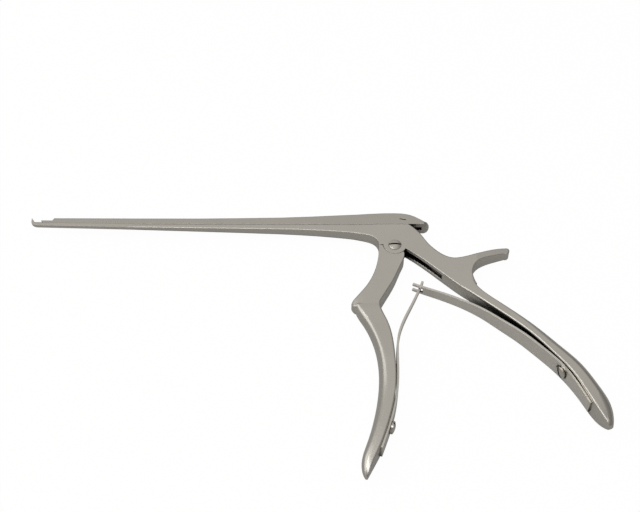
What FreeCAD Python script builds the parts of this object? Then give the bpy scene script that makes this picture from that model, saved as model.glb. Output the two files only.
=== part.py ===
import FreeCAD, Part
import math
import os

# Bone rongeur: a sliding-shaft punch lying on its side.
# X runs along the shaft, from the cutting tip (-X) to the handles (+X). Y runs from the handles up
# to the slider. Z is the instrument's thickness. It is drawn about the pivot's axis and its middle
# plane, and then laid on the table with the origin at the middle of its footprint. Sizes are in mm.

V = FreeCAD.Vector

# main sizes
tip_reach = 161.0
parting_height = 12.0
grip_half_width = 5.2
rest_height = grip_half_width
body_half_width = 3.2
tip_half_width = 0.8
running_gap = 0.05

# pivot
pivot_radius = 2.0
pivot_head_radius = 2.75
pivot_head_seat = 0.6
pivot_head_rise = 0.55
pivot_head_gap = 0.05
pivot_fit_gap = 0.02
lobe_radius = 5.0
lobe_gap = 0.25

# drive: a round head on the front handle's finger, between two lugs under the slider
drive_height = parting_height - 1.2
drive_offset = 0.5
drive_head_radius = 1.9
drive_head_gap = 0.08
drive_lug_length = 3.4
drive_lug_depth = 2.3
slider_travel = 3.2

# slot between the cheeks, for the finger
tongue_half_width = 1.5
slot_half_width = tongue_half_width + running_gap

# slider guide: a T-shaped key at mid-length and a straight rail at the front
key_front = -0.286 * tip_reach
key_length = 16.0
key_stem_half_width = 0.6
key_stem_height = 0.8
key_head_half_width = 1.15
key_head_height = 0.8
rail_half_width = 0.5 * tip_half_width
rail_height = 0.65
rail_end = -0.745 * tip_reach

# cutting tip
foot_rise = 2.6
jaw_opening = 4.3
cup_lip = 1.3
cup_length = 5.0
slider_front_height = 2.95

# leaf springs and their screws
spring_thickness = 0.9
spring_seat_gap = 0.03
fork_slot_half_width = 1.15
tongue_end_half_width = 0.85
spring_screw_radius = 1.3
spring_screw_depth = 4.0
spring_screw_head_radius = 2.6
spring_screw_head_height = 1.6
spring_hole_gap = 0.1
screw_slot_width = 0.8
screw_slot_depth = 0.9


def line_or_curve(points):
    """A straight edge through two points, or a smooth one through more."""
    if len(points) == 2:
        return Part.LineSegment(points[0], points[1]).toShape()
    curve = Part.BSplineCurve()
    curve.interpolate(points)
    return curve.toShape()


def face(stretches, plane="xy", level=0.0):
    """A flat face, edged by stretches: lists of points, each starting where the last ended."""
    lift = {
        "xy": lambda p: V(p[0], p[1], level),
        "xz": lambda p: V(p[0], level, p[1]),
        "yz": lambda p: V(level, p[0], p[1]),
    }[plane]
    edges = [line_or_curve([lift(p) for p in stretch]) for stretch in stretches]
    return Part.Face(Part.Wire(edges))


def plate(stretches, half_width):
    """The side outline made solid, half_width to each side of the middle plane."""
    return face(stretches, "xy", -half_width).extrude(V(0, 0, 2 * half_width))


def straight(points):
    """The stretches of a closed outline with straight sides."""
    return [[a, b] for a, b in zip(points, points[1:] + points[:1])]


def box(x0, x1, y0, y1, half_width):
    """A block across the middle plane."""
    return Part.makeBox(x1 - x0, y1 - y0, 2 * half_width, V(x0, y0, -half_width))


def rod(radius, z0, z1):
    """A round bar on the pivot's axis."""
    return Part.makeCylinder(radius, z1 - z0, V(0, 0, z0))


def tapered_along_x(stations):
    """A deep slab whose half width at each x is given."""
    outline = stations + [(x, -w) for x, w in reversed(stations)]
    return face(straight(outline), "xz", -150.0).extrude(V(0, 300, 0))


def tapered_along_y(stations):
    """A long slab whose half width at each y is given."""
    outline = stations + [(y, -w) for y, w in reversed(stations)]
    return face(straight(outline), "yz", -150.0).extrude(V(300, 0, 0))


def round_corner(start, end, corner):
    """A quarter turn from start to end, inside their corner."""
    pull = 0.5523
    curve = Part.BezierCurve()
    curve.setPoles([start, start + (corner - start) * pull, end + (corner - end) * pull, end])
    return curve.toShape()


def arc_points(radius, start, stop, steps=6):
    """Points round the pivot."""
    angles = [start + (stop - start) * k / steps for k in range(steps + 1)]
    return [(radius * math.cos(a), radius * math.sin(a)) for a in angles]


# The lower shaft, cheeks, horn and rear handle are one forging.


def shaft_widths():
    """Half width of the shaft and body along X, which frame and slider share."""
    return [
        (-tip_reach - 1.0, tip_half_width),
        (-0.72 * tip_reach, tip_half_width + 0.07),
        (-0.42 * tip_reach, tip_half_width + 0.28 * (body_half_width - tip_half_width)),
        (-17.0, tip_half_width + 0.66 * (body_half_width - tip_half_width)),
        (-6.0, body_half_width - 0.3),
        (3.6, body_half_width - 0.08),
        (12.0, body_half_width),
        (60.0, body_half_width),
    ]


def lobe_front():
    """Where the cheeks' round lobe meets their front edge, as an angle about the pivot."""
    return math.pi + 0.1


def lobe_rear():
    """Where the lobe meets the edge that leads to the rear handle."""
    return 2 * math.pi - 0.42


def body_outline():
    """Side outline of the lower shaft, cheeks, horn and the root of the rear handle."""
    p = parting_height
    tip = -tip_reach
    neck = p + rail_height
    foot_top = (tip, p + foot_rise)
    lobe = arc_points(lobe_radius, lobe_front(), lobe_rear())
    return [
        [foot_top, (tip + 1.35, neck)],
        [(tip + 1.35, neck), (tip + 1.6, p)],
        [(tip + 1.6, p), (6.1, p)],
        [(6.1, p), (9.3, 8.9), (11.4, 6.1), (14.0, 1.6), (18.2, -3.4), (22.8, -6.5), (26.6, -7.0)],
        [(26.6, -7.0), (33.0, -5.2), (41.9, -1.9), (47.6, -0.7)],
        [(47.6, -0.7), (49.5, -1.4), (49.2, -3.0), (47.4, -3.6)],
        [(47.4, -3.6), (38.6, -6.5), (35.0, -9.0), (33.0, -13.2), (33.0, -17.6), (34.2, -21.2)],
        [(34.2, -21.2), (30.6, -25.4)],
        [(30.6, -25.4), (18.4, -14.2), (10.3, -6.6), lobe[-1]],
        lobe[::-1],
        [lobe[0], (-5.0, 0.2)],
        [(-5.0, 0.2), (-6.9, 0.2)],
        [(-6.9, 0.2), (-7.2, 2.0), (-8.5, 4.1), (-11.4, p - 6.3), (-17.7, p - 4.9)],
        [(-17.7, p - 4.9), (-37.0, p - 3.3), (-68.0, p - 2.6), (-130.0, p - 1.85), (tip + 3.4, p - 1.5)],
        [(tip + 3.4, p - 1.5), (tip + 0.9, p - 0.7), (tip + 0.1, p + 0.3)],
        [(tip + 0.1, p + 0.3), foot_top],
    ]


def slot_outline():
    """Side outline of the slot between the cheeks: open above, behind the lobe and below."""
    p = parting_height
    front = lug_front() - slider_travel - 0.3
    low = arc_points(lobe_radius + 2 * lobe_gap, math.pi * 0.8, math.pi * 1.3)
    floor = low[-1][0]
    return [
        [(front, p + 1.0), (front, p - 3.0)],
        [(front, p - 3.0), low[0]],
        low,
        [low[-1], (floor, -12.0)],
        [(floor, -12.0), (16.4, -19.0)],
        [(16.4, -19.0), (20.8, -14.6)],
        [(20.8, -14.6), (13.2, -6.2), (8.6, 1.0), (6.6, 6.4)],
        [(6.6, 6.4), (9.0, 7.2)],
        [(9.0, 7.2), (15.0, 7.2)],
        [(15.0, 7.2), (15.0, p + 1.0)],
        [(15.0, p + 1.0), (front, p + 1.0)],
    ]


def horn_flank():
    """What is ground off one flank of the horn, which gets thinner towards its tip."""
    w = body_half_width
    start = 35.0
    outline = [(start, w), (start + 18.0, w - 1.45), (start + 18.0, w + 2.0), (start, w + 2.0)]
    return face(straight(outline), "xz", -14.0).extrude(V(0, 20, 0))


def grip_section(inner, outer, half_width, back):
    """A D-shaped section of a handle: flat inside, parallel sides, the back rounded over its depth."""
    i = V(inner[0], inner[1], 0)
    o = V(outer[0], outer[1], 0)
    depth = (o - i).Length
    across = (o - i) * (1.0 / depth)
    side = depth - back
    bevel = min(0.35, half_width / 3, side / 3)
    up = V(0, 0, 1)

    def point(reach, height):
        return i + across * reach + up * height

    w = half_width
    corners = [point(0, bevel - w), point(0, w - bevel), point(bevel, w), point(side, w)]
    edges = [Part.LineSegment(a, b).toShape() for a, b in zip(corners, corners[1:])]
    edges.append(round_corner(point(side, w), o, point(depth, w)))
    edges.append(round_corner(o, point(side, -w), point(depth, -w)))
    closing = [point(side, -w), point(bevel, -w), corners[0]]
    edges += [Part.LineSegment(a, b).toShape() for a, b in zip(closing, closing[1:])]
    return Part.Wire(edges)


def grip(stations):
    """A handle drawn through D-shaped sections, its two sides ground flat."""
    drawn = Part.makeLoft([grip_section(*s) for s in stations], True, False)
    return drawn.common(box(-50, 110, -130, 20, grip_half_width))


def rear_grip():
    w = grip_half_width + 0.1
    return grip(
        [
            ((26.6, -21.6), (32.6, -15.4), body_half_width, 0.5),
            ((30.6, -25.4), (34.2, -21.2), body_half_width + 0.2, 0.8),
            ((37.7, -31.9), (41.0, -28.7), w - 1.2, 1.2),
            ((46.0, -39.5), (49.4, -35.9), w - 0.6, 1.8),
            ((53.5, -46.8), (57.2, -42.8), w - 0.3, 2.8),
            ((62.0, -57.0), (66.8, -52.9), w, 4.0),
            ((68.5, -65.8), (74.4, -62.0), w, 4.2),
            ((72.6, -74.0), (79.8, -72.1), w, 4.2),
            ((75.9, -81.7), (82.9, -79.9), w - 0.4, 3.9),
            ((78.6, -86.7), (83.3, -85.7), w - 1.8, 2.8),
            ((80.4, -89.6), (82.7, -89.1), w - 3.9, 1.3),
        ]
    )


def rear_spring_line():
    """The rear spring's outer face in side view, from the fork to the foot."""
    return [
        (7.0, -21.3), (11.0, -23.0), (19.8, -26.5), (28.6, -30.7), (35.2, -34.7),
        (42.8, -40.7), (50.4, -47.0), (58.0, -54.7), (64.7, -62.4), (69.4, -69.9), (74.3, -80.2),
    ]


def front_spring_line():
    """The front spring's outer face in side view, from the foot to the hooked tongue."""
    return [
        (-6.9, -101.8), (-5.4, -97.2), (-3.15, -89.8), (-0.95, -80.0), (0.1, -70.0), (0.3, -61.0),
        (0.5, -52.4), (1.6, -45.0), (4.4, -37.0), (7.7, -29.4), (9.9, -24.0), (11.9, -18.6),
    ]


def layer(line, top, bottom, half_width):
    """What lies between top and bottom behind a spring's outer face, handle side positive."""
    upper = []
    lower = []
    for k, p in enumerate(line):
        before = line[max(k - 1, 0)]
        after = line[min(k + 1, len(line) - 1)]
        run = V(after[0] - before[0], after[1] - before[1], 0).normalize()
        upper.append((p[0] - run.y * top, p[1] + run.x * top))
        lower.append((p[0] - run.y * bottom, p[1] + run.x * bottom))
    outline = [upper, [upper[-1], lower[-1]], lower[::-1], [lower[0], upper[0]]]
    return plate(outline, half_width)


def spring_land(line, half_width, region):
    """The land on a handle's inner face that a spring's foot rests on."""
    seat = spring_thickness + spring_seat_gap
    return layer(line, seat, seat + 2.2, half_width).common(region)


def spring_clearance(line, half_width, region):
    """What a handle leaves free for the foot."""
    return layer(line, -3.0, spring_thickness + spring_seat_gap, half_width).common(region)


# where each spring screw enters its handle's land, and which way it goes
rear_screw_place = V(66.3, -62.9, 0)
rear_screw_way = V(0.82, 0.572, 0).normalize()
rear_foot_region = box(60.5, 90, -90, -50, 6)
front_screw_place = V(-4.25, -90.4, 0)
front_screw_way = V(-0.964, 0.265, 0).normalize()
front_foot_region = box(-20, 10, -110, -83, 6)


def screw_hole(place, way, radius):
    """A hole along a spring screw, through the spring and into the handle."""
    return Part.makeCylinder(radius, spring_screw_depth + 5.0, place - way * 5.0, way)


def spot_face(place, way):
    """What is ground off a spring so that its screw's head sits flat."""
    face_level = spring_thickness + spring_seat_gap
    return Part.makeCylinder(spring_screw_head_radius + spring_hole_gap, 4.0, place - way * face_level, -way)


def key(gap):
    """The slider's T-shaped key, gap larger on every side."""
    p = parting_height
    front = key_front - gap
    rear = key_front + key_length + gap
    low = p - key_stem_height
    stem = box(front, rear, low - gap, p + 0.5, key_stem_half_width + gap)
    head = box(front, rear, low - key_head_height - gap, low + gap, key_head_half_width + gap)
    return stem.fuse(head)


def key_slot():
    """The slot that the key slides in, and the window behind it that the key is dropped in through."""
    p = parting_height
    gap = 2 * running_gap
    slot = key(gap)
    slot = slot.fuse(slot.translated(V(-slider_travel - 0.2, 0, 0)))
    rear = key_front + key_length
    low = p - key_stem_height - key_head_height - gap
    window = box(rear, rear + key_length + 0.4, low, p + 0.5, key_head_half_width + gap)
    return slot.fuse(window)


def foot_dish():
    """The hollow in the footplate's face, towards the slider."""
    middle = V(-tip_reach + 0.7, parting_height + 1.65, 0)
    return Part.makeSphere(0.85, middle + V(0.49, 0.34, 0))


def frame():
    p = parting_height
    rail = box(-tip_reach + 1.0, rail_end, p - 0.3, p + rail_height, rail_half_width)
    body = plate(body_outline(), body_half_width + 1.0)
    body = body.common(tapered_along_x(shaft_widths()))
    flank = horn_flank()
    body = body.cut([flank, flank.mirror(V(0, 0, 0), V(0, 0, 1))])
    line = rear_spring_line()
    handle = rear_grip().cut(spring_clearance(line, grip_half_width + 1, rear_foot_region))
    handle = handle.fuse(spring_land(line, 3.3, rear_foot_region))
    body = body.fuse([rail, handle])
    body = body.cut([plate(slot_outline(), slot_half_width), key_slot(), foot_dish()])
    body = body.cut(rod(pivot_radius + pivot_fit_gap, -20, 20))
    body = body.cut(rod(pivot_head_radius + pivot_head_gap, body_half_width - pivot_head_seat, 20))
    body = body.cut(screw_hole(rear_screw_place, rear_screw_way, spring_screw_radius))
    return body.removeSplitter()


# The slider rides on the frame, and the finger on the front handle drives it.


def lug_front():
    """Front end of the slider's front lug."""
    return drive_offset - drive_head_radius - drive_head_gap - drive_lug_length


def slider_section(x, half_width, top):
    """A section of the slider, with its back rounded."""
    p = parting_height + running_gap
    w = half_width
    r = min(0.8 * w, 0.95)
    corners = [V(x, top - r, -w), V(x, p, -w), V(x, p, w), V(x, top - r, w)]
    edges = [Part.LineSegment(a, b).toShape() for a, b in zip(corners, corners[1:])]
    edges.append(round_corner(corners[3], V(x, top, w - r), V(x, top, w)))
    edges.append(Part.LineSegment(V(x, top, w - r), V(x, top, r - w)).toShape())
    edges.append(round_corner(V(x, top, r - w), corners[0], V(x, top, -w)))
    return Part.Wire(edges)


def between(stations, x):
    """The value at x on the straight stretches through stations."""
    for (x0, value0), (x1, value1) in zip(stations, stations[1:]):
        if x0 <= x <= x1:
            return value0 + (value1 - value0) * (x - x0) / (x1 - x0)


def slider_rises():
    """How high the slider's back rises above the parting line along X."""
    return [
        (-tip_reach + 3.0, slider_front_height),
        (-0.75 * tip_reach, 3.4),
        (-0.53 * tip_reach, 3.75),
        (-0.31 * tip_reach, 4.45),
        (-37.0, 5.05),
        (-28.0, 5.6),
        (-19.5, 6.1),
        (-11.0, 6.55),
        (-4.0, 6.78),
        (0.0, 6.8),
        (3.2, 6.65),
        (5.3, 6.3),
        (7.0, 5.85),
        (9.0, 4.9),
        (11.0, 3.6),
        (13.6, 1.75),
        (16.0, 1.15),
    ]


def slider_back():
    """The slider's solid length, drawn through its sections, its flanks flush with the shaft's."""
    rises = slider_rises()
    widths = shaft_widths()
    front = rises[0][0]
    rear = rises[-1][0]
    places = sorted({x for x, _ in rises + widths if front <= x <= rear})
    sections = []
    for x in places:
        sections.append(slider_section(x, between(widths, x), parting_height + between(rises, x)))
    return Part.makeLoft(sections, True, True)


def slider_side():
    """Side outline that trims the slider's ends: the cup's lip in front, the rounded nose behind."""
    p = parting_height + running_gap
    tip = -tip_reach
    lip = p + cup_lip
    front = tip + jaw_opening
    return [
        [(front + 1.05, p), (front, lip)],
        [(front, lip), (front + cup_length, lip)],
        [(front + cup_length, lip), (front + cup_length + 0.8, p + 2.95)],
        [(front + cup_length + 0.8, p + 2.95), (front + cup_length + 0.8, p + 12.0)],
        [(front + cup_length + 0.8, p + 12.0), (15.5, p + 12.0)],
        [(15.5, p + 12.0), (15.5, p + 1.2)],
        [(15.5, p + 1.2), (15.2, p + 0.4), (14.4, p)],
        [(14.4, p), (front + 1.05, p)],
    ]


def nose_plan():
    """Plan outline that rounds the slider's rear end."""
    w = body_half_width + 0.1
    end = [(12.4, w), (14.4, 0.72 * w), (15.4, 0.0), (14.4, -0.72 * w), (12.4, -w)]
    tip = -tip_reach
    outline = [end, [end[-1], (tip, -w)], [(tip, -w), (tip, w)], [(tip, w), end[0]]]
    return face(outline, "xz", 0.0).extrude(V(0, 40, 0))


def slider():
    p = parting_height + running_gap
    body = slider_back().common(plate(slider_side(), body_half_width + 1.0)).common(nose_plan())
    wall = drive_head_radius + drive_head_gap
    room_front = drive_offset - wall
    room_rear = drive_offset + wall
    low = p - drive_lug_depth
    front_lug = box(lug_front(), room_front, low, p + 0.5, tongue_half_width)
    rear_lug = box(room_rear, room_rear + drive_lug_length - 0.2, low, p + 0.5, tongue_half_width)
    body = body.fuse([front_lug, rear_lug, key(0.0)])
    body = body.cut(box(room_front, room_rear, low - 1.0, p + 1.4, tongue_half_width + 0.1))
    body = body.cut(box(room_rear + drive_lug_length, 12.2, p - 0.5, p + 1.8, 1.0))
    groove_half = rail_half_width + running_gap
    groove_top = p + rail_height + running_gap
    groove_end = rail_end + slider_travel + 0.4
    body = body.cut(box(-tip_reach, groove_end, p - 1, groove_top, groove_half))
    cup_front = -tip_reach + jaw_opening + 0.6
    body = body.cut(box(cup_front, cup_front + cup_length - 0.3, groove_top - 0.2, p + 4.0, groove_half))
    mark = Part.makeBox(2.8, 0.5, 2.0, V(2.4, p + 2.5, body_half_width - 1.2))
    mark.rotate(V(3.8, p + 2.7, 0), V(0, 0, 1), -10)
    return body.cut(mark).removeSplitter()


# The front handle turns on the pivot between the cheeks.


def front_handle_outline():
    """Side outline of the front handle's upper part, hollowed round the cheeks' lobe."""
    hollow = arc_points(lobe_radius + lobe_gap, lobe_front() + 0.02, 2 * math.pi - 0.82)
    return [
        hollow,
        [hollow[-1], (3.9, -5.4), (2.6, -10.1), (-0.4, -18.2), (-4.4, -26.4), (-6.9, -31.4)],
        [(-6.9, -31.4), (-7.0, -33.4)],
        [(-7.0, -33.4), (-17.2, -33.9)],
        [(-17.2, -33.9), (-18.8, -32.5), (-18.1, -30.4)],
        [(-18.1, -30.4), (-13.3, -24.5), (-9.8, -17.5), (-7.7, -9.6), (-6.9, -0.1)],
        [(-6.9, -0.1), hollow[0]],
    ]


def front_grip():
    w = grip_half_width + 0.1
    return grip(
        [
            ((-6.9, -32.6), (-17.7, -33.0), body_half_width + 0.5, 2.2),
            ((-4.3, -41.0), (-14.2, -40.6), w - 1.2, 2.7),
            ((-1.9, -52.0), (-9.9, -51.3), w - 0.6, 2.7),
            ((-1.1, -64.0), (-7.9, -63.8), w, 3.6),
            ((-1.5, -76.5), (-8.2, -76.0), w, 4.3),
            ((-4.0, -89.3), (-10.1, -88.0), w, 4.0),
            ((-7.3, -100.2), (-12.9, -98.6), w - 0.5, 3.8),
            ((-10.2, -107.0), (-14.9, -106.4), w - 1.6, 3.2),
            ((-11.9, -111.1), (-14.5, -111.2), w - 2.9, 1.9),
            ((-12.6, -113.2), (-13.6, -113.3), w - 4.4, 0.6),
        ]
    )


def finger_outline():
    """Side outline of the tongue round the pivot and the finger above it, up to its head's middle."""
    x = drive_offset
    y = drive_height
    r = drive_head_radius
    neck = 0.66 * r
    return [
        [(-4.0, -6.6), (-4.8, -1.0), (-4.0, 2.6), (-2.0, 5.4), (x - neck, y - 1.1 * r)],
        [(x - neck, y - 1.1 * r), (x - neck, y)],
        [(x - neck, y), (x + neck, y)],
        [(x + neck, y), (x + neck, y - 1.1 * r)],
        [(x + neck, y - 1.1 * r), (3.4, 4.4), (4.6, 1.2), (4.6, -1.6), (3.0, -6.6)],
        [(3.0, -6.6), (-4.0, -6.6)],
    ]


def finger_head():
    """The round head that works between the slider's lugs."""
    head = rod(drive_head_radius, -tongue_half_width, tongue_half_width)
    return head.translated(V(drive_offset, drive_height, 0))


def front_handle():
    w = body_half_width
    upper = plate(front_handle_outline(), w + 1.0)
    upper = upper.common(tapered_along_y([(-40.0, w + 0.7), (-14.0, w), (6.0, w)]))
    knee = [(-21.0, 0.4), (-18.9, 1.4), (-17.8, 2.4), (-16.2, 3.2), (-14.0, w + 0.5), (10.0, w + 0.5)]
    upper = upper.common(tapered_along_x(knee))
    line = front_spring_line()
    lower = front_grip().cut(spring_clearance(line, grip_half_width + 1, front_foot_region))
    lower = lower.fuse(spring_land(line, 3.6, front_foot_region))
    body = upper.fuse([plate(finger_outline(), tongue_half_width), finger_head(), lower])
    body = body.cut(rod(pivot_radius + running_gap, -20, 20))
    body = body.cut(screw_hole(front_screw_place, front_screw_way, spring_screw_radius))
    return body.removeSplitter()


def pivot_screw():
    seat = body_half_width - pivot_head_seat
    top = body_half_width
    shank = rod(pivot_radius, -body_half_width, seat)
    head = rod(pivot_head_radius, seat, top)
    ball = (pivot_head_radius ** 2 + pivot_head_rise ** 2) / (2 * pivot_head_rise)
    dome = Part.makeSphere(ball, V(0, 0, top + pivot_head_rise - ball))
    dome = dome.common(rod(pivot_head_radius, top, top + pivot_head_rise + 0.5))
    slot_floor = top + pivot_head_rise - screw_slot_depth
    groove = Part.makeBox(10, screw_slot_width, 5, V(-5, -screw_slot_width / 2, slot_floor))
    return shank.fuse([head, dome]).cut(groove).removeSplitter()


# Two leaf springs hook into each other between the handles and push them apart.


def rear_spring():
    leaf = layer(rear_spring_line(), 0.0, spring_thickness, 6.0)
    widths = [
        (6.0, 2.25), (14.0, 2.35), (28.0, 2.7), (40.0, 3.4),
        (54.0, 4.1), (66.0, 4.2), (70.0, 3.7), (76.0, 3.0),
    ]
    leaf = leaf.common(tapered_along_x(widths))
    leaf = leaf.cut(box(5.0, 11.4, -30, -15, fork_slot_half_width))
    leaf = leaf.cut(spot_face(rear_screw_place, rear_screw_way))
    return leaf.cut(screw_hole(rear_screw_place, rear_screw_way, spring_screw_radius + spring_hole_gap))


def front_spring():
    end = tongue_end_half_width
    leaf = layer(front_spring_line(), 0.0, spring_thickness, 6.0)
    widths = [
        (-103.0, 3.3), (-96.0, 3.7), (-84.0, 3.7), (-60.0, 2.7),
        (-45.0, 1.5), (-35.0, 1.1), (-25.0, end), (-17.0, end),
    ]
    leaf = leaf.common(tapered_along_y(widths))
    leaf = leaf.cut(spot_face(front_screw_place, front_screw_way))
    return leaf.cut(screw_hole(front_screw_place, front_screw_way, spring_screw_radius + spring_hole_gap))


def spring_screw(place, way):
    """A slotted screw in a handle, whose domed head rests on the spring."""
    seat = spring_thickness + 2 * spring_seat_gap
    r = spring_screw_head_radius
    rim = 0.6 * spring_screw_head_height
    rise = spring_screw_head_height - rim
    shank = Part.makeCylinder(spring_screw_radius, spring_screw_depth + seat, place - way * seat, way)
    head = Part.makeCylinder(r, rim, place - way * (seat + rim), way)
    ball = (r * r + rise * rise) / (2 * rise)
    crown = place - way * (seat + spring_screw_head_height)
    dome = Part.makeSphere(ball, crown + way * ball)
    dome = dome.common(Part.makeCylinder(r, rise, crown, way))
    groove = Part.makeBox(2 * r + 1, screw_slot_width, 2.0, V(-r - 0.5, -screw_slot_width / 2, -2.0))
    turn = FreeCAD.Rotation(V(0, 0, 1), way)
    groove.Placement = FreeCAD.Placement(crown + way * screw_slot_depth, turn).multiply(groove.Placement)
    return shank.fuse([head, dome]).cut(groove).removeSplitter()


def main():
    os.makedirs("parts", exist_ok=True)
    pieces = {
        "frame": frame(),
        "slider": slider(),
        "front_handle": front_handle(),
        "pivot_screw": pivot_screw(),
        "rear_spring": rear_spring(),
        "front_spring": front_spring(),
        "rear_spring_screw": spring_screw(rear_screw_place, rear_screw_way),
        "front_spring_screw": spring_screw(front_screw_place, front_screw_way),
    }
    whole = Part.makeCompound(list(pieces.values())).optimalBoundingBox()
    pivot = V(-(whole.XMin + whole.XMax) / 2, -(whole.YMin + whole.YMax) / 2, rest_height)
    print("pivot at", round(pivot.x, 4), round(pivot.y, 4), "footprint", whole.XLength, whole.YLength)
    for name, shape in pieces.items():
        shape = shape.translated(pivot)
        print(name, "solids", len(shape.Solids), "valid", shape.isValid(), "volume", round(shape.Volume, 1))
        shape.exportStep("parts/" + name + ".step")


main()
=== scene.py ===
# %% [markdown]
# # Dressing a bone rongeur
# The imported solids are a steel instrument lying on its side: a frame whose rear handle, horn, cheeks
# and lower shaft are one forging, a slider on top of it, a front handle on a pivot screw, and two leaf
# springs, each held by a screw. They already have the right shape, so most of this lesson is about
# surfaces: how satin steel is made to look like satin steel, and how the springs are copied and cut into
# rows along their length.

# %% Load the solids
import math
import bmesh
import bpy
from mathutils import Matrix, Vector


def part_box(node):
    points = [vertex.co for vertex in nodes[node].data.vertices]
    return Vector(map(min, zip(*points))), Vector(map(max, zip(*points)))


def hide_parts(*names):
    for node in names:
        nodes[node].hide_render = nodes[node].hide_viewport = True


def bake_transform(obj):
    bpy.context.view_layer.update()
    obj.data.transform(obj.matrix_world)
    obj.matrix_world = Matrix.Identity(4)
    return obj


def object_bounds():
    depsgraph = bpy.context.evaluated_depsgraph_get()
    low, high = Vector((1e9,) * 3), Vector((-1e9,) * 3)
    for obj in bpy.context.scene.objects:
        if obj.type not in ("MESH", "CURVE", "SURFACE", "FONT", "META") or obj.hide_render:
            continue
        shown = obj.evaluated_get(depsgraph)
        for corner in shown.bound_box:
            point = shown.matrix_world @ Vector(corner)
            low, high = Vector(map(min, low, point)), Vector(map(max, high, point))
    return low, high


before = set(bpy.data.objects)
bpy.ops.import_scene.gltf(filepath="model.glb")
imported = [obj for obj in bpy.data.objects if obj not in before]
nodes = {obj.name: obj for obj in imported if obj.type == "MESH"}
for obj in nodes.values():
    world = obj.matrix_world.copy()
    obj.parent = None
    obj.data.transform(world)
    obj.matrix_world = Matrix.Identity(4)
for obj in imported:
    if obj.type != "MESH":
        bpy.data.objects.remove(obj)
cad_low, cad_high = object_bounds()
print("solids:", sorted(nodes))

# %% [markdown]
# Everything is placed from the pivot's axis, because the part is drawn round it. `mm` turns a place
# in millimetres from the pivot into a place in the scene, in the instrument's middle plane unless
# it is given another height above the table.

# %% A place from the pivot, in millimetres
screw_low, screw_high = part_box("pivot_screw")
pivot = ((screw_low.x + screw_high.x) / 2, (screw_low.y + screw_high.y) / 2)
middle = (cad_low[2] + cad_high[2]) / 2 * 1000


def mm(x, y, z=middle):
    return (pivot[0] + x / 1000, pivot[1] + y / 1000, z / 1000)


print("pivot at", [round(v * 1000, 2) for v in pivot], "mm, middle plane at", round(middle, 2), "mm")

# %% [markdown]
# Colours are written as on a colour card, in sRGB. The shaders want them linear, so one function
# turns them. A pattern's size is written in millimetres, and another turns it into a noise scale.
# One more adds a node with its settings and its links, which keeps each material short enough to
# read from top to bottom.

# %% Colours and nodes
def colour(code):
    parts = [int(code[i:i + 2], 16) / 255 for i in (1, 3, 5)]
    return tuple(p / 12.92 if p < 0.04045 else ((p + 0.055) / 1.055) ** 2.4 for p in parts) + (1.0,)


def patches(size):
    """The noise scale that gives patches of a size in millimetres."""
    return 1000 / size


def add(tree, kind, settings=None, **inputs):
    """A node of a kind, its settings, and its inputs, by name or as i and a number.

    An input is given a value, or an output to link from."""
    node = tree.nodes.new(kind)
    for name, value in (settings or {}).items():
        setattr(node, name, value)
    for name, value in inputs.items():
        numbered = name[0] == "i" and name[1:].isdigit()
        socket = node.inputs[int(name[1:]) if numbered else name.replace("_", " ")]
        if isinstance(value, bpy.types.NodeSocket):
            tree.links.new(value, socket)
        else:
            socket.default_value = value
    return node


def new_material(name):
    material = bpy.data.materials.new(name)
    material.use_nodes = True
    material.node_tree.nodes.clear()
    return material, material.node_tree


# %% [markdown]
# Satin stainless steel: the forging is ground, then blasted with fine glass beads or brushed on a
# soft wheel, so that it doesn't dazzle the surgeon. It is a bare metal, so all its brightness is
# reflection, and a roughness near 0.3 spreads that into a soft grey. Three things keep it from
# looking like paint: a grain too fine to see as bumps but enough to break the sheen, faint clouds
# where the wheel pressed harder, and edges that the polishing has rounded by nearly a millimetre.
# The rounding is a Bevel node: it turns the shading near an edge, so every edge catches a thin
# line of light, as in the photograph. A polisher spares the joint and the foot at the tip, where a
# rounded edge would spoil the fit, so the rounding gets smaller there. Slots, the places under the
# springs and the steel close to the table get painted shade: an Ambient Occlusion node finds those
# places, and the metal's colour is darkened there to stand in for the shadow that falls in them.
# The slider is ground on its own, to sharper edges, and looks a little darker than the forging it
# rides on.
#
# The clouds are 14 mm across. Blasted grain is about 0.05 mm on the real steel, too fine for a
# picture of the whole instrument, so it is drawn at 0.19 mm. The leaves' brush marks are drawn
# 0.24 mm wide and four times as long, and the screws have the finest grain.

# %% Satin steel
spared = 0.18
joint_inside, joint_outside = 0.007, 0.016
foot_end, foot_start = mm(-121, 0)[0], mm(-112, 0)[0]
edge_samples, painted_shade_samples = 12, 12
# How far the painted shade looks for nearby walls, in metres.
painted_shade_reach = 0.0065


def edge_radius(tree, place, edge):
    """The rounding's radius at a place: full but for the joint and the foot, where a share is left."""
    reach = add(tree, "ShaderNodeVectorMath", {"operation": "DISTANCE"}, i0=place, i1=mm(0, 0))
    by_joint = add(
        tree, "ShaderNodeMapRange",
        i0=reach.outputs["Value"], i1=joint_inside, i2=joint_outside, i3=spared, i4=1.0,
    )
    along = add(tree, "ShaderNodeSeparateXYZ", Vector=place)
    by_foot = add(
        tree, "ShaderNodeMapRange",
        i0=along.outputs["X"], i1=foot_end, i2=foot_start, i3=spared, i4=1.0,
    )
    share = add(
        tree, "ShaderNodeMath", {"operation": "MULTIPLY"},
        i0=by_joint.outputs["Result"], i1=by_foot.outputs["Result"],
    )
    return add(tree, "ShaderNodeMath", {"operation": "MULTIPLY"}, i0=share.outputs[0], i1=edge).outputs[0]


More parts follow.
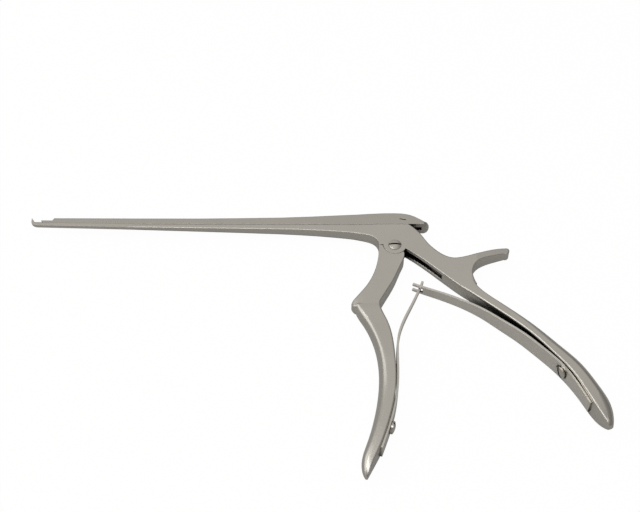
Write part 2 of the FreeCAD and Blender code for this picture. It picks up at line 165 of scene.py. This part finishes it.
def satin_steel(name, tint, dark_tint, roughness, edge, grain, streak):
    """Steel in two tints, with edges rounded by a radius in metres, a grain in millimetres, and painted
    shade in its crevices.
    """
    material, tree = new_material(name)
    place = add(tree, "ShaderNodeTexCoord").outputs["Object"]
    long_way = add(tree, "ShaderNodeMapping", Vector=place, Scale=streak).outputs["Vector"]
    clouds = add(tree, "ShaderNodeTexNoise", Vector=place, Scale=patches(14), Detail=3.0, Roughness=0.55)
    fine = add(tree, "ShaderNodeTexNoise", Vector=long_way, Scale=patches(grain), Detail=2.0, Roughness=0.6)
    shade = add(
        tree, "ShaderNodeMix", {"data_type": "RGBA"},
        i0=clouds.outputs["Fac"], i6=colour(tint), i7=colour(dark_tint),
    )
    rough = add(
        tree, "ShaderNodeMapRange",
        i0=fine.outputs["Fac"], i1=0.3, i2=0.7, i3=roughness - 0.05, i4=roughness + 0.06,
    )
    rounded = add(tree, "ShaderNodeBevel", {"samples": edge_samples}, Radius=edge_radius(tree, place, edge))
    grained = add(
        tree, "ShaderNodeBump", Strength=0.06, Distance=0.00004,
        Height=fine.outputs["Fac"], Normal=rounded.outputs["Normal"],
    )
    # Painted shade: where the Ambient Occlusion node finds little open space, in slots, under the springs
    # and by the table, the colour is darkened nearly to black.
    open_sky = add(tree, "ShaderNodeAmbientOcclusion", {"samples": painted_shade_samples}, Distance=painted_shade_reach)
    painted_shade = add(tree, "ShaderNodeMapRange", i0=open_sky.outputs["AO"], i1=0.4, i2=0.56, i3=0.03, i4=1.0)
    tint_under_painted_shade = add(
        tree, "ShaderNodeMix", {"data_type": "RGBA", "blend_type": "MULTIPLY"},
        i0=1.0, i6=shade.outputs[2], i7=painted_shade.outputs["Result"],
    )
    metal = add(
        tree, "ShaderNodeBsdfPrincipled", Metallic=1.0, Base_Color=tint_under_painted_shade.outputs[2],
        Roughness=rough.outputs["Result"], Normal=grained.outputs["Normal"],
    )
    add(tree, "ShaderNodeOutputMaterial", Surface=metal.outputs["BSDF"])
    return material


forged = satin_steel("satin_stainless_steel", "#D6D2CA", "#CDC9C1", 0.27, 0.0009, 0.19, (1.0, 1.0, 1.0))
ground = satin_steel("ground_slider_steel", "#CDC9C1", "#C4C0B8", 0.27, 0.00025, 0.19, (1.0, 1.0, 1.0))
leaf = satin_steel("brushed_spring_steel", "#EAE6DE", "#DEDAD2", 0.36, 0.00014, 0.24, (0.25, 1.0, 1.0))
turned = satin_steel("polished_screw_steel", "#D6D2CA", "#CCC8C0", 0.24, 0.00018, 0.17, (1.0, 1.0, 1.0))
finishes = {"satin_steel": forged, "spring_steel": leaf, "screw_steel": turned}
for node in nodes.values():
    for slot in node.material_slots:
        slot.material = finishes[slot.material.name.split(".")[0]]
nodes["slider"].material_slots[0].material = ground
print("finishes:", [m.name for m in finishes.values()], "and", ground.name)

# %% [markdown]
# Each leaf spring is held by a screw at its foot and hooks into the other at its free end. A real
# leaf doesn't turn about its screw, it bends along its length. So the finished leaf is a copy of the
# solid's mesh, merged and cut into short rows from near its foot to near its hook, and it takes the
# solid's place; nothing in this script moves the rows. The copy keeps the solid's shape to 0.02 mm,
# the length of the slivers that the cuts leave and that are taken out again.

# %% Leaf springs cut into rows
leaf_rows = 14
same_point, sliver = 0.000001, 0.00002
leaf_crease = math.radians(25)


def bending_leaf(name, start, end):
    """A copy of a leaf, merged and cut into rows from the start to the end, which takes the place of the
    solid.
    """
    source = nodes[name]
    mesh = source.data.copy()
    mesh.transform(source.matrix_world)
    work = bmesh.new()
    work.from_mesh(mesh)
    bmesh.ops.remove_doubles(work, verts=work.verts, dist=same_point)
    start, end = Vector(start), Vector(end)
    for row in range(leaf_rows + 1):
        everything = work.verts[:] + work.edges[:] + work.faces[:]
        place = start.lerp(end, row / leaf_rows)
        bmesh.ops.bisect_plane(work, geom=everything, dist=same_point, plane_co=place, plane_no=end - start)
    bmesh.ops.dissolve_degenerate(work, dist=sliver, edges=work.edges)
    bmesh.ops.triangulate(work, faces=work.faces)
    work.to_mesh(mesh)
    work.free()
    mesh.shade_smooth()
    mesh.set_sharp_from_angle(angle=leaf_crease)
    leaf_piece = bpy.data.objects.new(name + "_leaf", mesh)
    bpy.context.scene.collection.objects.link(leaf_piece)
    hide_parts(name)
    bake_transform(leaf_piece)
    print(leaf_piece.name, "has", len(mesh.polygons), "faces")


bending_leaf("rear_spring", mm(58.0, -54.7), mm(20.0, -26.6))
bending_leaf("front_spring", mm(-1.5, -82.0), mm(4.4, -37.0))

# %% [markdown]
# The camera looks down at the instrument from the handles' side, 50 degrees above the table and
# turned by one degree, through a long lens: its view is 30 degrees wide. It is aimed a little to
# the left of the pivot, where the photograph has its middle.

# %% Camera
TILT = math.radians(40)
TURN = math.radians(1)
REACH = 0.51836
HALF_VIEW = math.radians(15)
aim = mm(-32.465, -4.513)
lens = bpy.data.cameras.new("camera")
lens.sensor_fit = "HORIZONTAL"
lens.sensor_width = 36.0
lens.lens = lens.sensor_width / 2 / math.tan(HALF_VIEW)
lens.clip_start = 0.01
lens.clip_end = 20.0
camera = bpy.data.objects.new("camera", lens)
camera.location = (
    aim[0] + REACH * math.sin(TILT) * math.sin(TURN),
    aim[1] - REACH * math.sin(TILT) * math.cos(TURN),
    aim[2] + REACH * math.cos(TILT),
)
camera.rotation_euler = (TILT, 0.0, TURN)
bpy.context.scene.collection.objects.link(camera)
bpy.context.scene.camera = camera
print("camera at", [round(v, 3) for v in camera.location])

# %% [markdown]
# The instrument lies on a sweep of pale grey paper. What makes it white in the picture is a glow
# that only the camera and reflections see, so it lights nothing and the steel's shadow stays.
# Reflections see less of the glow, since the photograph's steel is darker below than its table.

# %% Table
seen_glow, mirrored_glow = 0.9, 0.16


def white_sweep():
    material, tree = new_material("white_sweep")
    ray = add(tree, "ShaderNodeLightPath").outputs
    mirrored = add(
        tree, "ShaderNodeMath", {"operation": "ADD"},
        i0=ray["Is Glossy Ray"], i1=ray["Is Transmission Ray"],
    )
    dimmed = add(tree, "ShaderNodeMath", {"operation": "MULTIPLY"}, i0=mirrored.outputs[0], i1=mirrored_glow)
    direct = add(tree, "ShaderNodeMath", {"operation": "MULTIPLY"}, i0=ray["Is Camera Ray"], i1=seen_glow)
    share = add(tree, "ShaderNodeMath", {"operation": "MAXIMUM"}, i0=dimmed.outputs[0], i1=direct.outputs[0])
    paper = add(tree, "ShaderNodeBsdfDiffuse", Color=colour("#A09F9D"))
    glow = add(tree, "ShaderNodeEmission", Color=(1.0, 1.0, 1.0, 1.0), Strength=1.08)
    both = add(tree, "ShaderNodeMixShader", i0=share.outputs[0], i1=paper.outputs[0], i2=glow.outputs[0])
    add(tree, "ShaderNodeOutputMaterial", Surface=both.outputs[0])
    return material


table_mesh = bpy.data.meshes.new("table")
half, sunk = 3.0, 0.00005
corners = [(-half, -half, 0), (half, -half, 0), (half, half, 0), (-half, half, 0)]
table_mesh.from_pydata(corners, [], [(0, 1, 2, 3)])
table = bpy.data.objects.new("table", table_mesh)
table.location.z = -sunk
table_mesh.materials.append(white_sweep())
bpy.context.scene.collection.objects.link(table)
print("table laid")

# %% [markdown]
# A metal shows what stands round it. Here that is a light tent with a grey sky that is dark round
# the camera, where the photographer stands, and dim on the right, and two soft boxes. The flat
# sides mirror the far wall, so they stay calm. The box overhead reaches from straight above to the
# camera's side, where only rounded near edges can mirror it: it draws thin bright lines along
# them, and the dark beyond it draws the dark lines next to those. The low box at the left, large
# and weak, lights the front handle's back.

# %% Light
def light_tent():
    """A grey sky, brighter higher up, times what is left of it near the camera and on the right."""
    world = bpy.data.worlds.new("light_tent")
    world.use_nodes = True
    tree = world.node_tree
    tree.nodes.clear()
    way = add(tree, "ShaderNodeTexCoord").outputs["Generated"]
    axes = add(tree, "ShaderNodeSeparateXYZ", Vector=way).outputs
    height = add(tree, "ShaderNodeMapRange", i0=axes["Z"], i1=0.0, i2=0.9, i3=0.42, i4=0.62)
    to_camera = (0.0, -math.sin(TILT), math.cos(TILT))
    facing = add(tree, "ShaderNodeVectorMath", {"operation": "DOT_PRODUCT"}, i0=way, i1=to_camera)
    near = add(tree, "ShaderNodeMapRange", i0=facing.outputs["Value"], i1=0.7, i2=0.93, i3=1.0, i4=0.4)
    right = add(tree, "ShaderNodeMapRange", i0=axes["X"], i1=0.16, i2=0.55, i3=1.0, i4=0.45)
    front = add(
        tree, "ShaderNodeMath", {"operation": "MULTIPLY"},
        i0=height.outputs["Result"], i1=near.outputs["Result"],
    )
    level = add(
        tree, "ShaderNodeMath", {"operation": "MULTIPLY"},
        i0=front.outputs[0], i1=right.outputs["Result"],
    )
    sky = add(tree, "ShaderNodeBackground", Color=(1.0, 0.985, 0.96, 1.0), Strength=level.outputs[0])
    ray = add(tree, "ShaderNodeLightPath").outputs
    white = add(tree, "ShaderNodeBackground", Color=(1.0, 1.0, 1.0, 1.0), Strength=1.0)
    both = add(tree, "ShaderNodeMixShader", i0=ray["Is Camera Ray"], i1=sky.outputs[0], i2=white.outputs[0])
    add(tree, "ShaderNodeOutputWorld", Surface=both.outputs[0])
    bpy.context.scene.world = world


def soft_box(name, place, width, height, power):
    """A rectangular lamp of a size in metres and a power in watts, turned to the instrument."""
    lamp = bpy.data.lights.new(name, "AREA")
    lamp.shape = "RECTANGLE"
    lamp.size = width
    lamp.size_y = height
    lamp.energy = power
    box = bpy.data.objects.new(name, lamp)
    box.location = place
    box.rotation_euler = (-box.location).to_track_quat("-Z", "Y").to_euler()
    bpy.context.scene.collection.objects.link(box)


light_tent()
soft_box("top_box", (-0.2, -0.25, 1.13), 1.9, 0.52, 5.4)
soft_box("left_box", (-1.1, 0.25, 0.55), 1.1, 0.8, 1.9)
print("tent lit")

# %% [markdown]
# The instrument is finished. The last cell sets how the picture's colours are shown.

# %% Colour view
scene = bpy.context.scene
scene.view_settings.view_transform = "Standard"
